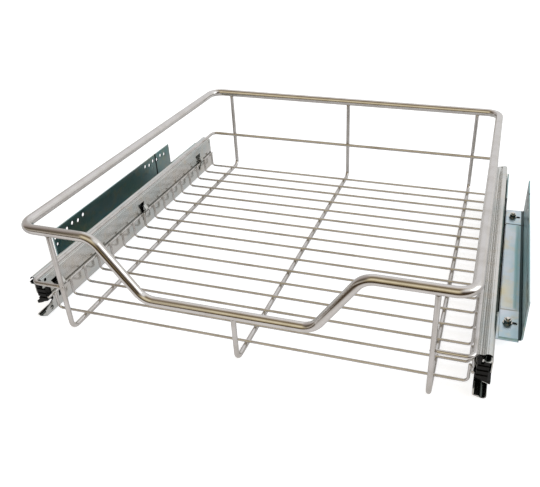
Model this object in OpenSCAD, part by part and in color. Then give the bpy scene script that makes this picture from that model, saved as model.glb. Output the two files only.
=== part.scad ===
// Pull out cabinet basket: a bent wire basket carried between two telescopic
// ball runners, each bolted to a slotted wall plate that screws to the cabinet.
// Frame: X to the right, Y to the back, Z up. The front of the basket faces -Y.
// The origin is under the middle of the basket, level with the bearer wires.

/* [Cabinet] */
// clear width between the side boards, which the wall plates are set to
cabinet_w = 564; // [500:1:640]
// room beside the basket, from the rim to the side board
side_room = 48; // [45:0.5:52]

/* [Basket] */
// outside depth of the rim
basket_d = 490; // [480:1:510]
// height from under the bearers to the top of the rim
basket_h = 132; // [123:1:160]
// diameter of the rim tube
rim_d = 10.5; // [9:0.5:12]
// bend radius of the four rim corners, to the middle of the tube
rim_bend = 18; // [14:1:30]

/* [Lowered front] */
// how far the middle of the front is lowered
dip_drop = 66; // [50:1:72]
// width of the lowered part at its foot, between bend corners
dip_foot_w = 180; // [140:1:220]
// sideways run of each slope
dip_slope_w = 48; // [42:1:56]
// sideways shift of the lowered part, less than 0 is to the left
dip_shift = -7; // [-12:1:12]
// bend radius of the four slope bends
dip_bend = 22; // [16:1:26]

/* [Wires] */
// diameter of the three bearer wires
bearer_d = 5.4; // [4.8:0.2:6]
// distance from the outside of the rim to an outer bearer
bearer_from_side = 37; // [30:1:60]
// bend radius of the bearers' four corners
bearer_bend = 9; // [7:1:12]
// diameter of the wire half way up the wall
mid_rail_d = 4.6; // [3.8:0.2:5]
// distance from the middle of the rim down to that wire
mid_rail_below = 69; // [66:0.5:70]
// bend radius of its corners
mid_rail_bend = 8; // [6:1:12]
// diameter of the two wires that rest in the runner hooks
side_wire_d = 3.4; // [3:0.1:3.8]
// diameter of the sixteen floor wires
floor_wire_d = 3.2; // [2.8:0.1:3.5]
// distance from each end of the basket to the nearest floor wire
floor_margin = 32; // [30:0.5:40]
// bend radius of the floor wires' upturned ends
floor_bend = 5; // [4:0.5:7]

/* [Runners] */
// distance from the side of the rim out to the runner
runner_from_rim = 2.85; // [2:0.05:5]
// how much shorter than the basket each runner is
runner_short = 40; // [38:1:44]
// sheet thickness of the rails
rail_t = 1.2; // [1:0.05:1.25]
// full height of the runner
runner_h = 51; // [50:0.5:54]
// thickness of the runner, from the basket to its bracket
runner_t = 15.6; // [15:0.1:16.5]
// diameter of the balls next to the basket
outer_ball_d = 5; // [4.8:0.1:5.1]
// diameter of the balls next to the cabinet
inner_ball_d = 3.84; // [3.6:0.02:3.86]

/* [Wall plates] */
// length of each wall plate
plate_len = 300; // [290:1:310]
// height of each wall plate
plate_h = 50; // [46:1:60]
// sheet thickness of plates and brackets
sheet_t = 1.5; // [1.2:0.1:1.8]
// diameter of the wood screw holes
screw_hole_d = 4.8; // [4:0.1:5.2]
// spacing of the wood screw holes
screw_hole_pitch = 11.8; // [11:0.1:12]
// diameter of the adjusting bolts
bolt_d = 5; // [4:0.1:5.2]

/* [Hidden] */
$fn = 48;

// running clearances
ball_gap = 0.05;                 // ball to race
cage_gap = 0.05;                 // ball to the hole in its cage
slot_gap = 0.25;                 // bolt to the side of its slot
face_gap = 0.05;                 // between sheets that slide on each other

// bends are drawn a hair thinner than the bars that run into them
bend_lap = 0.3;
bend_thin = 0.02;

// basket
basket_w = cabinet_w - 2 * side_room;
runner_len = basket_d - runner_short;
rim_r = rim_d / 2;
rim_x = basket_w / 2 - rim_r;
rim_y = basket_d / 2 - rim_r;
rim_z = basket_h - rim_r;
bearer_r = bearer_d / 2;
bearer_in = 1.5;                  // uprights stand this far inside the rim's middle
bearer_x = basket_w / 2 - bearer_from_side;
bearer_y = rim_y - bearer_in;
floor_wire_r = floor_wire_d / 2;
floor_z = bearer_d + floor_wire_r;
floor_count = 16;
floor_half = basket_d / 2 - floor_margin;
floor_pitch = 2 * floor_half / (floor_count - 1);
mid_rail_z = rim_z - mid_rail_below;
rail_face = basket_w / 2 + runner_from_rim;
mid_rail_x = rail_face - 0.15 - mid_rail_d / 2;
mid_rail_back = bearer_y - bearer_r - mid_rail_d / 2;
side_wire_x = rail_face - side_wire_d / 2;
side_wire_z = 25.8;
side_wire_over = 9;               // a side wire runs this far past the floor wires
side_wire_half = floor_half + side_wire_over;
stub_over = 1.5;                  // the floor wires' ends stand this far above it
stub_x = side_wire_x - (side_wire_d + floor_wire_d) / 2;
stub_top = side_wire_z + side_wire_d / 2 + stub_over;

// runner cross section: u runs from the basket outward, v up from its middle
runner_z = 27.3;
runner_set_back = 17;             // from the front of the rim
runner_front = -basket_d / 2 + runner_set_back;
runner_back = runner_front + runner_len;
outer_ball_r = outer_ball_d / 2;
outer_race = outer_ball_r + ball_gap;
outer_back = outer_race + rail_t;
outer_u = runner_t - 6;
outer_v = runner_h / 2 - outer_back;
inner_ball_r = inner_ball_d / 2;
inner_race = inner_ball_r + ball_gap;
inner_back = inner_race + rail_t;
inner_u = runner_t - 1 - inner_back;
inner_v = outer_v - outer_back - inner_back + 0.5;
shelf_v = outer_v + 0.9;          // flat strip between web and ball race
middle_web_u = outer_u - 4.5;
cabinet_web_u = runner_t - rail_t;
cage_t = 0.6;
outer_cage_u = middle_web_u - cage_t - 0.9;    // inner face of each cage's web
inner_cage_u = middle_web_u + rail_t + 0.6;
outer_cage_lip = 0.4;             // its edge stops this far inside the race
inner_cage_lip = 0.55;
cage_len = 200;
cage_off_mid = 3;                 // from the runner's middle when it is closed
cage_mid = runner_front + runner_len / 2 + cage_off_mid;
cage_balls = 9;
cage_pitch = 22;
block_top = 10.2;                 // upper edge of the soft closing block's body
block_len = 15;
block_from_end = 7;
block_u = 12.6;                   // its outer face
neck_u = middle_web_u - 0.5;      // its neck goes up between web and middle rail
neck_top = 22.3;
lip_len = 1.6;                    // its lip stands in front of the cabinet rail
lip_top = outer_v - outer_back - 0.5;
lip_u = 7.4;
foot_u = runner_t - 0.1;          // a sloping foot reaches out under the block
foot_low = -12.3;
foot_high = -9.4;
foot_in = -7.5;                   // its height next to the web
groove_at = [-3.2, 2.6, 8.4];
groove_h = 1.8;
groove_deep = 1.3;
crown_back = 4.2;                 // the top of the basket rail ends this far back
middle_back = 1.5;                // the middle rail starts this far back
cabinet_back = 9;                 // and the cabinet rail this far
lower_back = 24;                  // the lower races inside it end this far back
rail_short = 6;                   // the middle rail ends this far before the others
arm_end = 96;                     // the spring arm reaches this far back
arm_t = 1.4;
arm_half = 7;
hook_w = 8;
hook_from_front = 25;             // from the ends of the side wire to the outer hooks
hook_from_back = 45;
hook_off_mid = 5;
hook_at = [-side_wire_half + hook_from_front, -hook_off_mid,
           side_wire_half - hook_from_back];
window_ahead = 12.5;              // a window reaches this far in front of its hook
window_side = hook_w / 2 + 0.5;
window_top = 14;
window_low = -12.3;
web_end_back = 15;                // the web's front edge behind the block
web_end_top = 11.6;

// wall plates and brackets
bracket_x = rail_face + runner_t;
plate_x = cabinet_w / 2;
plate_front = runner_front + 87;
plate_back = plate_front + plate_len;
bracket_z = 9;
bracket_leg_h = 35;               // height of the leg against the cabinet rail
bracket_foot_w = plate_x - bracket_x - 4.15;   // reach of the foot under the plate
bracket_ahead = 1.5;              // the bracket shows this far in front of the plate
ear_len = 86;                     // ear at the back of the leg, past the plate
ear_h = 21;
ear_lap = 45;                     // how far the ear starts inside the plate's back end
ear_up = 20;                      // underside of the ear, from the foot
flange_z = bracket_z + sheet_t + face_gap;
flange_x = bracket_x + 4.85;
flange_step = 0.8;
front_tab_len = 50;               // the flange lies flat at both ends
back_tab_len = 44;
front_tab = plate_front + front_tab_len;
back_tab = plate_back - back_tab_len;
bolt_r = bolt_d / 2;
bolt_off_mid = 1.575;             // from the middle of the room between rail and plate
bolt_x = (bracket_x + plate_x) / 2 - bolt_off_mid;
bolt_from_front = 26;
bolt_from_back = 21;
bolt_y = [plate_front + bolt_from_front, plate_back - bolt_from_back];
slot_in = bolt_x - bolt_r - slot_gap - 2;
slot_out = bolt_x + bolt_r + slot_gap + 7.7;
washer_r = 5.2;
washer_t = 1;
nut_h = 4;
head_h = 3.4;
screw_hole_count = 6;             // at each end of the plate
screw_from_front = 4;             // from the plate's ends to its outermost holes
screw_from_back = 16;
screw_hole_high = flange_z + plate_h - 8;
screw_hole_low = screw_hole_high - 2.3;
pin_from_front = 5;               // two small pin holes lower down
pin_from_back = 54;
pin_up = 30;
pin_front_d = 3.6;
pin_back_d = 3;
rivet_r = 2.2;
rivet_first = 16;
rivet_second = 121;
rivet_third = 251;
rivet_at = [plate_front + rivet_first, plate_front + rivet_second,
            plate_front + rivet_third];

// ---------- bent wire ----------

function unit(v) = v / norm(v);
function turn(a, b, c) = acos(unit(b - a) * unit(c - b));
function tangent(a, b, c, bend) = bend * tan(turn(a, b, c) / 2);

// straight round bar from p to q
module bar(p, q, r) {
    d = q - p;
    translate(p) rotate([0, acos(d[2] / norm(d)), atan2(d[1], d[0])])
        cylinder(h = norm(d), r = r);
}

// round bend at corner b on the way from a to c
module elbow(a, b, c, bend, r) {
    d1 = unit(b - a);
    n = unit(cross(d1, unit(c - b)));
    e1 = cross(d1, n);
    e2 = cross(n, e1);
    start = b - tangent(a, b, c, bend) * d1;
    upright = abs(e1[2]) > 0.999;
    rx = upright ? atan2(-n[1], e2[1]) : atan2(e2[2], n[2]);
    rz = upright ? 0 : atan2(e1[1], e1[0]);
    translate(start - bend * e1) rotate([rx, -asin(e1[2]), rz])
        rotate_extrude(angle = turn(a, b, c)) translate([bend, 0])
            circle(r = r - bend_thin);
}

// open wire through the corner points
module bent_wire(pts, bend, r) {
    last = len(pts) - 1;
    for (i = [0 : last - 1]) {
        d = unit(pts[i + 1] - pts[i]);
        s = i > 0 ? tangent(pts[i - 1], pts[i], pts[i + 1], bend) - bend_lap : 0;
        e = i < last - 1
            ? tangent(pts[i], pts[i + 1], pts[i + 2], bend) - bend_lap : 0;
        bar(pts[i] + s * d, pts[i + 1] - e * d, r);
    }
    for (i = [1 : last - 1])
        elbow(pts[i - 1], pts[i], pts[i + 1], bend, r);
}

// closed wire through the corner points, with one bend radius for each
module closed_wire(pts, bends, r) {
    n = len(pts);
    for (i = [0 : n - 1]) {
        j = (i + 1) % n;
        a = pts[(i + n - 1) % n];
        b = pts[i];
        c = pts[j];
        e = pts[(i + 2) % n];
        d = unit(c - b);
        bar(b + (tangent(a, b, c, bends[i]) - bend_lap) * d,
            c - (tangent(b, c, e, bends[j]) - bend_lap) * d, r);
        elbow(a, b, c, bends[i], r);
    }
}

// ---------- basket ----------

// closed rim loop with its lowered front
module rim_tube() color("#c9c5bd") {
    foot = dip_foot_w / 2;
    top = foot + dip_slope_w;
    low = rim_z - dip_drop;
    closed_wire([
        [-rim_x, rim_y, rim_z], [-rim_x, -rim_y, rim_z],
        [dip_shift - top, -rim_y, rim_z], [dip_shift - foot, -rim_y, low],
        [dip_shift + foot, -rim_y, low], [dip_shift + top, -rim_y, rim_z],
        [rim_x, -rim_y, rim_z], [rim_x, rim_y, rim_z]
    ], [rim_bend, rim_bend, dip_bend, dip_bend,
        dip_bend, dip_bend, rim_bend, rim_bend], rim_r);
}

// long wire from the front of the rim, under the floor, to the back of the rim
module bearer(x, front_top) {
    bent_wire([
        [x, -bearer_y, front_top - rim_r], [x, -bearer_y, bearer_r],
        [x, bearer_y, bearer_r], [x, bearer_y, rim_z - rim_r]
    ], bearer_bend, bearer_r);
}
module bearer_left() color("#bdb8ae") bearer(-bearer_x, rim_z);
module bearer_centre() color("#bdb8ae") bearer(0, rim_z - dip_drop);
module bearer_right() color("#bdb8ae") bearer(bearer_x, rim_z);

// wire half way up the back and both sides, turned in to the front uprights
module mid_rail() color("#bdb8ae") {
    in = bearer_x + bearer_r;
    bent_wire([
        [-in, -bearer_y, mid_rail_z], [-mid_rail_x, -bearer_y, mid_rail_z],
        [-mid_rail_x, mid_rail_back, mid_rail_z],
        [mid_rail_x, mid_rail_back, mid_rail_z],
        [mid_rail_x, -bearer_y, mid_rail_z], [in, -bearer_y, mid_rail_z]
    ], mid_rail_bend, mid_rail_d / 2);
}

// straight wire along the foot of a side wall
module side_wire_right() color("#bdb8ae")
    bar([side_wire_x, -side_wire_half, side_wire_z],
        [side_wire_x, side_wire_half, side_wire_z], side_wire_d / 2);
module side_wire_left() mirror([1, 0, 0]) side_wire_right();

// floor wire with both ends turned up beside the side wires; number 1 is in front
module floor_wire(i) color("#b5b0a5") {
    y = -floor_half + (i - 1) * floor_pitch;
    bent_wire([
        [-stub_x, y, stub_top], [-stub_x, y, floor_z],
        [stub_x, y, floor_z], [stub_x, y, stub_top]
    ], floor_bend, floor_wire_r);
}
module floor_wire_01() floor_wire(1);
module floor_wire_02() floor_wire(2);
module floor_wire_03() floor_wire(3);
module floor_wire_04() floor_wire(4);
module floor_wire_05() floor_wire(5);
module floor_wire_06() floor_wire(6);
module floor_wire_07() floor_wire(7);
module floor_wire_08() floor_wire(8);
module floor_wire_09() floor_wire(9);
module floor_wire_10() floor_wire(10);
module floor_wire_11() floor_wire(11);
module floor_wire_12() floor_wire(12);
module floor_wire_13() floor_wire(13);
module floor_wire_14() floor_wire(14);
module floor_wire_15() floor_wire(15);
module floor_wire_16() floor_wire(16);

// ---------- runner on the right side ----------

// a flat profile of u and v, drawn out along Y from y0 to y1
module rolled(y0, y1)
    translate([rail_face, y1, runner_z]) rotate([90, 0, 0])
        linear_extrude(height = y1 - y0) children();

// ring sector between two angles less than half a turn apart
module ring_part(u, v, r_in, r_out, a0, a1) {
    far = 4 * r_out;
    am = (a0 + a1) / 2;
    translate([u, v]) intersection() {
        difference() { circle(r = r_out); circle(r = r_in); }
        polygon([[0, 0], far * [cos(a0), sin(a0)], far * [cos(am), sin(am)],
                 far * [cos(a1), sin(a1)]]);
    }
}

module both_edges() { children(); mirror([0, 1]) children(); }

// a box cut through the rail web, from y0 to y1 and from height z0 to z1
module web_cut(y0, y1, z0, z1)
    translate([rail_face - 1, y0, z0]) cube([rail_t + 1.4, y1 - y0, z1 - z0]);

module web_hole(y, z, d)
    translate([rail_face - 1, y, z]) rotate([0, 90, 0])
        cylinder(h = rail_t + 1.4, r = d / 2);

// opening cut through the rail web, from its corner points along Y and v
module web_opening(pts)
    translate([rail_face - 1, 0, runner_z]) rotate([90, 0, 90])
        linear_extrude(height = rail_t + 1.4) polygon(pts);

// window left in the web where a hook was bent out
module hook_window(y)
    web_opening([
        [y - window_ahead, window_top], [y - window_side, -1],
        [y - window_side, window_low], [y + window_side, window_low],
        [y + window_side, window_top]
    ]);

// hook bent out of the web: it holds the side wire against the runner
module wire_hook(y) {
    gap = 0.15;
    s = side_wire_z - runner_z;
    wu = -side_wire_d;
    translate([rail_face, y + hook_w / 2, runner_z]) rotate([90, 0, 0])
        linear_extrude(height = hook_w) polygon([
            [0, s - 12], [0, s - 8.2], [wu - gap - rail_t, s - 3.5],
            [wu - gap - rail_t, s + 5.2], [wu - gap - rail_t - 0.9, s + 7.4],
            [wu - gap - 0.9, s + 8], [wu - gap, s + 5.6],
            [wu - gap, s - 2.6], [rail_t, s - 7.5], [rail_t, s - 12]
        ]);
}

// wide rail that faces the basket, with ball races rolled along both edges
module basket_rail_right() color("#b6b8b6") {
    difference() {
        rolled(runner_front, runner_back) both_edges() {
            translate([0, -0.1]) square([rail_t, shelf_v + rail_t + 0.1]);
            translate([0, shelf_v])
                square([outer_u - outer_race - 0.4, rail_t]);
            ring_part(outer_u, outer_v, outer_race, outer_back, 15, 162);
        }
        // the web stops short beside the black block, the top a little less
        web_opening([
            [runner_front - 1, web_end_top], [runner_front - 1, -15.2],
            [runner_front + 7.2, -11.6], [runner_front + web_end_back, -8.6],
            [runner_front + web_end_back, web_end_top]
        ]);
        translate([rail_face - 1, runner_front - 1, runner_z + web_end_top - 1.4])
            cube([runner_t, crown_back + 1, runner_h]);
        for (y = hook_at) hook_window(y);
        web_hole(runner_front + 10.5, runner_z + 20.2, 3.4);
        web_hole(runner_front + 9, runner_z - 17.2, 4.4);
        web_cut(runner_back - 10, runner_back - 4, side_wire_z + 2.6,
                side_wire_z + 4.4);
        web_cut(runner_back - 5, runner_back - 3.4, runner_z + 17,
                runner_z + 21.5);
    }
    for (y = hook_at) wire_hook(y);
}

// black block at the front of the basket rail, with a spring arm behind it
module soft_close_right() color("#1b1b1c") {
    front = runner_front + block_from_end;
    back = front + block_len;
    face = rail_t + 0.1;
    difference() {
        union() {
            rolled(front, back) polygon([
                [face, foot_in], [foot_u, foot_low], [foot_u, foot_high],
                [block_u, foot_high + 1], [block_u, block_top],
                [neck_u, block_top], [neck_u, neck_top], [face, neck_top]
            ]);
            rolled(front, front + lip_len) translate([lip_u, 0])
                square([block_u - lip_u, lip_top]);
        }
        // grip grooves across the front
        for (v = groove_at)
            translate([rail_face, front - 1, runner_z + v - groove_h / 2])
                cube([runner_t, groove_deep + 1, groove_h]);
    }
    rolled(back - 1, runner_front + arm_end)
        translate([rail_t, -arm_half]) square([arm_t, 2 * arm_half]);
    // thicker root of the arm inside the block
    rolled(back - 10, back)
        translate([rail_t, -arm_half - 1]) square([arm_t + 0.6, 2 * arm_half + 2]);
}

// rail between the other two, with a ball race inside and outside each edge
module middle_rail_right() color("#aeb1b0") difference() {
    rolled(runner_front + middle_back, runner_back - rail_short) both_edges() {
        translate([middle_web_u, -0.1])
            square([rail_t, outer_v - 1 + 0.1]);
        ring_part(outer_u, outer_v, outer_race, outer_back, 195, 345);
        ring_part(inner_u, inner_v, inner_race, inner_back, 15, 165);
    }
    // the web and the lower races stop behind the black block
    translate([rail_face + middle_web_u - 1, runner_front, runner_z - runner_h / 2])
        cube([runner_t, lower_back, runner_h / 2 + outer_v - outer_back - 0.1]);
}

// rail on the cabinet side
module cabinet_rail_right() color("#aeb1b0") difference() {
    rolled(runner_front + cabinet_back, runner_back) both_edges() {
        translate([cabinet_web_u, -0.1]) square([rail_t, inner_v - 0.8 + 0.1]);
        ring_part(inner_u, inner_v, inner_race, inner_back, 195, 345);
    }
    // its lower half starts behind the black block
    translate([rail_face + middle_web_u, runner_front, runner_z - runner_h / 2])
        cube([runner_t, lower_back, runner_h / 2]);
    for (y = rivet_at)
        translate([rail_face + cabinet_web_u - 1, y, runner_z])
            rotate([0, 90, 0]) cylinder(h = rail_t + 2, r = rivet_r + 0.03);
}

// strip that spaces two rows of balls, with a round hole for each ball
module cage(web_u, u, v, ball_r, edge_u) difference() {
    rolled(cage_mid - cage_len / 2, cage_mid + cage_len / 2) both_edges() {
        translate([web_u, -0.1]) square([cage_t, v + cage_t / 2 + 0.1]);
        translate([web_u, v - cage_t / 2]) square([edge_u - web_u, cage_t]);
    }
    for (i = [0 : cage_balls - 1])
        translate([rail_face + u, cage_mid + (i - (cage_balls - 1) / 2) * cage_pitch,
                   runner_z - v - 2])
            cylinder(h = 2 * v + 4, r = ball_r + cage_gap);
}

module ball_rows(u, v, r)
    for (i = [0 : cage_balls - 1]) for (s = [-1, 1])
        translate([rail_face + u, cage_mid + (i - (cage_balls - 1) / 2) * cage_pitch,
                   runner_z + s * v]) sphere(r = r);

module outer_cage_right() color("#8f9391")
    cage(outer_cage_u, outer_u, outer_v, outer_ball_r,
         outer_u + outer_back - outer_cage_lip);
module inner_cage_right() color("#8f9391")
    cage(inner_cage_u, inner_u, inner_v, inner_ball_r,
         inner_u + inner_back - inner_cage_lip);
module outer_balls_right() color("#d5d7d8")
    ball_rows(outer_u, outer_v, outer_ball_r);
module inner_balls_right() color("#d5d7d8")
    ball_rows(inner_u, inner_v, inner_ball_r);

// ---------- bracket and wall plate on the right side ----------

// angle riveted to the cabinet rail: its foot reaches out under the wall plate
module runner_bracket_right() color("#aeb9c0") difference() {
    union() {
        translate([bracket_x, plate_front - bracket_ahead, bracket_z])
            cube([sheet_t, plate_len + bracket_ahead, bracket_leg_h]);
        translate([bracket_x, plate_back - ear_lap, bracket_z + ear_up])
            cube([sheet_t, ear_len, ear_h]);
        translate([bracket_x, plate_front - bracket_ahead, bracket_z])
            cube([bracket_foot_w, plate_len + bracket_ahead, sheet_t]);
    }
    for (y = rivet_at)
        translate([bracket_x - 1, y, runner_z]) rotate([0, 90, 0])
            cylinder(h = sheet_t + 2, r = rivet_r + 0.03);
    for (y = bolt_y)
        translate([bolt_x, y, bracket_z - 1])
            cylinder(h = sheet_t + 2, r = bolt_r + 0.05);
}

// rivets through the cabinet rail and its bracket
module rivets_right() color("#9a9d9c") for (y = rivet_at)
    translate([rail_face + cabinet_web_u - 0.9, y, runner_z])
        rotate([0, 90, 0]) {
            cylinder(h = 0.9, r = rivet_r + 1.6);
            cylinder(h = rail_t + sheet_t + 1.8, r = rivet_r);
            translate([0, 0, rail_t + sheet_t + 0.9])
                cylinder(h = 0.9, r = rivet_r + 1.6);
        }

// slot across the flange, so the plate can be set in or out
module cross_slot(y) {
    r = bolt_r + slot_gap;
    translate([slot_in + r, y - r, flange_z - 1])
        cube([slot_out - slot_in - 2 * r, 2 * r, sheet_t + 3]);
    for (x = [slot_in + r, slot_out - r])
        translate([x, y, flange_z - 1]) cylinder(h = sheet_t + 3, r = r);
}

module screw_hole(y, z, d)
    translate([plate_x - sheet_t - 1, y, z]) rotate([0, 90, 0])
        cylinder(h = sheet_t + 2, r = d / 2);

// L shaped plate: the tall leg screws to the cabinet wall
module wall_plate_right() color("#9fb4c2") difference() {
    union() {
        translate([plate_x - sheet_t, plate_front, flange_z])
            cube([sheet_t, plate_len, plate_h]);
        translate([flange_x, plate_front, flange_z])
            cube([plate_x - flange_x, front_tab - plate_front, sheet_t]);
        translate([flange_x, front_tab - 1.5, flange_z + flange_step])
            cube([plate_x - flange_x, back_tab - front_tab + 3, sheet_t]);
        translate([flange_x, back_tab, flange_z])
            cube([plate_x - flange_x, plate_back - back_tab, sheet_t]);
    }
    for (y = bolt_y) cross_slot(y);
    // number 0 of each row is the outermost
    for (j = [0 : screw_hole_count - 1]) {
        z = j % 2 == 0 ? screw_hole_low : screw_hole_high;
        screw_hole(plate_front + screw_from_front + j * screw_hole_pitch, z, screw_hole_d);
        screw_hole(plate_back - screw_from_back - j * screw_hole_pitch, z, screw_hole_d);
    }
    screw_hole(plate_front + pin_from_front, flange_z + pin_up, pin_front_d);
    screw_hole(plate_back - pin_from_back, flange_z + pin_up + 1, pin_back_d);
}

module six_sided(across, h)
    linear_extrude(height = h) polygon([for (i = [0 : 5])
        across / 2 / cos(30) * [cos(60 * i), sin(60 * i)]]);

// bolt up through the bracket and the slot
module adjusting_bolt(y) color("#6f7274") translate([bolt_x, y, 0]) {
    translate([0, 0, bracket_z - head_h]) six_sided(8, head_h);
    translate([0, 0, bracket_z - head_h / 2])
        cylinder(h = flange_z + sheet_t + washer_t + nut_h + 1.6
                     - bracket_z + head_h / 2, r = bolt_r);
}
module flat_washer(y) color("#8b8e90")
    translate([bolt_x, y, flange_z + sheet_t + face_gap]) difference() {
        cylinder(h = washer_t, r = washer_r);
        translate([0, 0, -1]) cylinder(h = washer_t + 2, r = bolt_r + 0.1);
    }
module hex_nut(y) color("#6f7274")
    translate([bolt_x, y, flange_z + sheet_t + face_gap + washer_t])
        difference() {
            six_sided(8, nut_h);
            translate([0, 0, -1]) cylinder(h = nut_h + 2, r = bolt_r + 0.05);
        }

module bolt_front_right() adjusting_bolt(bolt_y[0]);
module bolt_back_right() adjusting_bolt(bolt_y[1]);
module washer_front_right() flat_washer(bolt_y[0]);
module washer_back_right() flat_washer(bolt_y[1]);
module nut_front_right() hex_nut(bolt_y[0]);
module nut_back_right() hex_nut(bolt_y[1]);

// ---------- the left side mirrors the right ----------

module basket_rail_left() mirror([1, 0, 0]) basket_rail_right();
module soft_close_left() mirror([1, 0, 0]) soft_close_right();
module middle_rail_left() mirror([1, 0, 0]) middle_rail_right();
module cabinet_rail_left() mirror([1, 0, 0]) cabinet_rail_right();
module outer_cage_left() mirror([1, 0, 0]) outer_cage_right();
module inner_cage_left() mirror([1, 0, 0]) inner_cage_right();
module outer_balls_left() mirror([1, 0, 0]) outer_balls_right();
module inner_balls_left() mirror([1, 0, 0]) inner_balls_right();
module runner_bracket_left() mirror([1, 0, 0]) runner_bracket_right();
module rivets_left() mirror([1, 0, 0]) rivets_right();
module wall_plate_left() mirror([1, 0, 0]) wall_plate_right();
module bolt_front_left() mirror([1, 0, 0]) bolt_front_right();
module bolt_back_left() mirror([1, 0, 0]) bolt_back_right();
module washer_front_left() mirror([1, 0, 0]) washer_front_right();
module washer_back_left() mirror([1, 0, 0]) washer_back_right();
module nut_front_left() mirror([1, 0, 0]) nut_front_right();
module nut_back_left() mirror([1, 0, 0]) nut_back_right();

rim_tube();
bearer_left();
bearer_centre();
bearer_right();
mid_rail();
side_wire_left();
side_wire_right();
floor_wire_01();
floor_wire_02();
floor_wire_03();
floor_wire_04();
floor_wire_05();
floor_wire_06();
floor_wire_07();
floor_wire_08();
floor_wire_09();
floor_wire_10();
floor_wire_11();
floor_wire_12();
floor_wire_13();
floor_wire_14();
floor_wire_15();
floor_wire_16();
basket_rail_left();
basket_rail_right();
soft_close_left();
soft_close_right();
middle_rail_left();
middle_rail_right();
cabinet_rail_left();
cabinet_rail_right();
outer_cage_left();
outer_cage_right();
outer_balls_left();
outer_balls_right();
inner_cage_left();
inner_cage_right();
inner_balls_left();
inner_balls_right();
runner_bracket_left();
runner_bracket_right();
rivets_left();
rivets_right();
wall_plate_left();
wall_plate_right();
bolt_front_left();
bolt_back_left();
bolt_front_right();
bolt_back_right();
washer_front_left();
washer_back_left();
washer_front_right();
washer_back_right();
nut_front_left();
nut_back_left();
nut_front_right();
nut_back_right();
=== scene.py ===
"""Pull out cabinet basket: the finish of every piece, dressed over its solid model.

The frame is the model's own: X to the right, Y to the back, Z up. Shapes and finishes are
given in millimetres, and mesh_of() turns their points to metres. The camera, the floor and
the light are given in metres.
"""

import math

import bpy
import numpy as np
from mathutils import Matrix, Vector


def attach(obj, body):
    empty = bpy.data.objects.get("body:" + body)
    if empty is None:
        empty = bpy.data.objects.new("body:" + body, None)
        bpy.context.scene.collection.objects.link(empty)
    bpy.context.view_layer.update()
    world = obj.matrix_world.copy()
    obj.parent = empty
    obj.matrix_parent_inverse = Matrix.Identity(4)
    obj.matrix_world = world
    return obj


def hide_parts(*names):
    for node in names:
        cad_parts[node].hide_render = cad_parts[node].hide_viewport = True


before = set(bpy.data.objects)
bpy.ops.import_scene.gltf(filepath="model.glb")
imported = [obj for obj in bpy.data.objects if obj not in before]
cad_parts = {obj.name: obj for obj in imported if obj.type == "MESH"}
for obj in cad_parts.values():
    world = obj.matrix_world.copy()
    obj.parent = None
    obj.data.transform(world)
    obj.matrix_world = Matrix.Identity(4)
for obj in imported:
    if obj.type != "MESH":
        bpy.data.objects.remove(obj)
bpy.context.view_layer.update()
MM = 0.001

# the lengths that the solid model is drawn with
BASKET_W, BASKET_D, BASKET_H, RIM_D = 468, 490, 132, 10.5
RIM_X, RIM_Y, RIM_Z = BASKET_W / 2 - RIM_D / 2, BASKET_D / 2 - RIM_D / 2, BASKET_H - RIM_D / 2
DIP_DROP, DIP_FOOT, DIP_SLOPE, DIP_SHIFT = 66, 90, 48, -7
BEARER_R, BEARER_X, BEARER_Y = 2.7, BASKET_W / 2 - 37, RIM_Y - 1.5
MID_RAIL_R, MID_RAIL_Z = 2.3, RIM_Z - 69
RAIL_FACE = BASKET_W / 2 + 2.85
MID_RAIL_X = RAIL_FACE - 0.15 - MID_RAIL_R
MID_RAIL_BACK = BEARER_Y - BEARER_R - MID_RAIL_R
SIDE_WIRE_R, SIDE_WIRE_Z, SIDE_WIRE_END = 1.7, 25.8, 222
SIDE_WIRE_X = RAIL_FACE - SIDE_WIRE_R
FLOOR_R, FLOOR_PITCH, FLOOR_COUNT = 1.6, 28.4, 16
FLOOR_Z = 2 * BEARER_R + FLOOR_R
FLOOR_Y = (np.arange(FLOOR_COUNT) - (FLOOR_COUNT - 1) / 2) * FLOOR_PITCH
STUB_X = SIDE_WIRE_X - SIDE_WIRE_R - FLOOR_R
STUB_TOP = SIDE_WIRE_Z + SIDE_WIRE_R + 1.5

RUNNER_Z, RUNNER_FRONT, RUNNER_BACK, RAIL_T, RUNNER_T = 27.3, -228, 222, 1.2, 15.6
OUTER_RACE, OUTER_BACK, OUTER_U = 2.55, 3.75, RUNNER_T - 6
OUTER_V = 51 / 2 - OUTER_BACK
INNER_RACE, INNER_BACK = 1.97, 3.17
INNER_U = RUNNER_T - 1 - INNER_BACK
INNER_V = OUTER_V - OUTER_BACK - INNER_BACK + 0.5
SHELF_V = OUTER_V + 0.9
MIDDLE_WEB_U, CABINET_WEB_U = OUTER_U - 4.5, RUNNER_T - RAIL_T
HOOK_AT = (-SIDE_WIRE_END + 25, -5, SIDE_WIRE_END - 45)
BLOCK_FRONT, BLOCK_BACK = RUNNER_FRONT + 7, RUNNER_FRONT + 22

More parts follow.
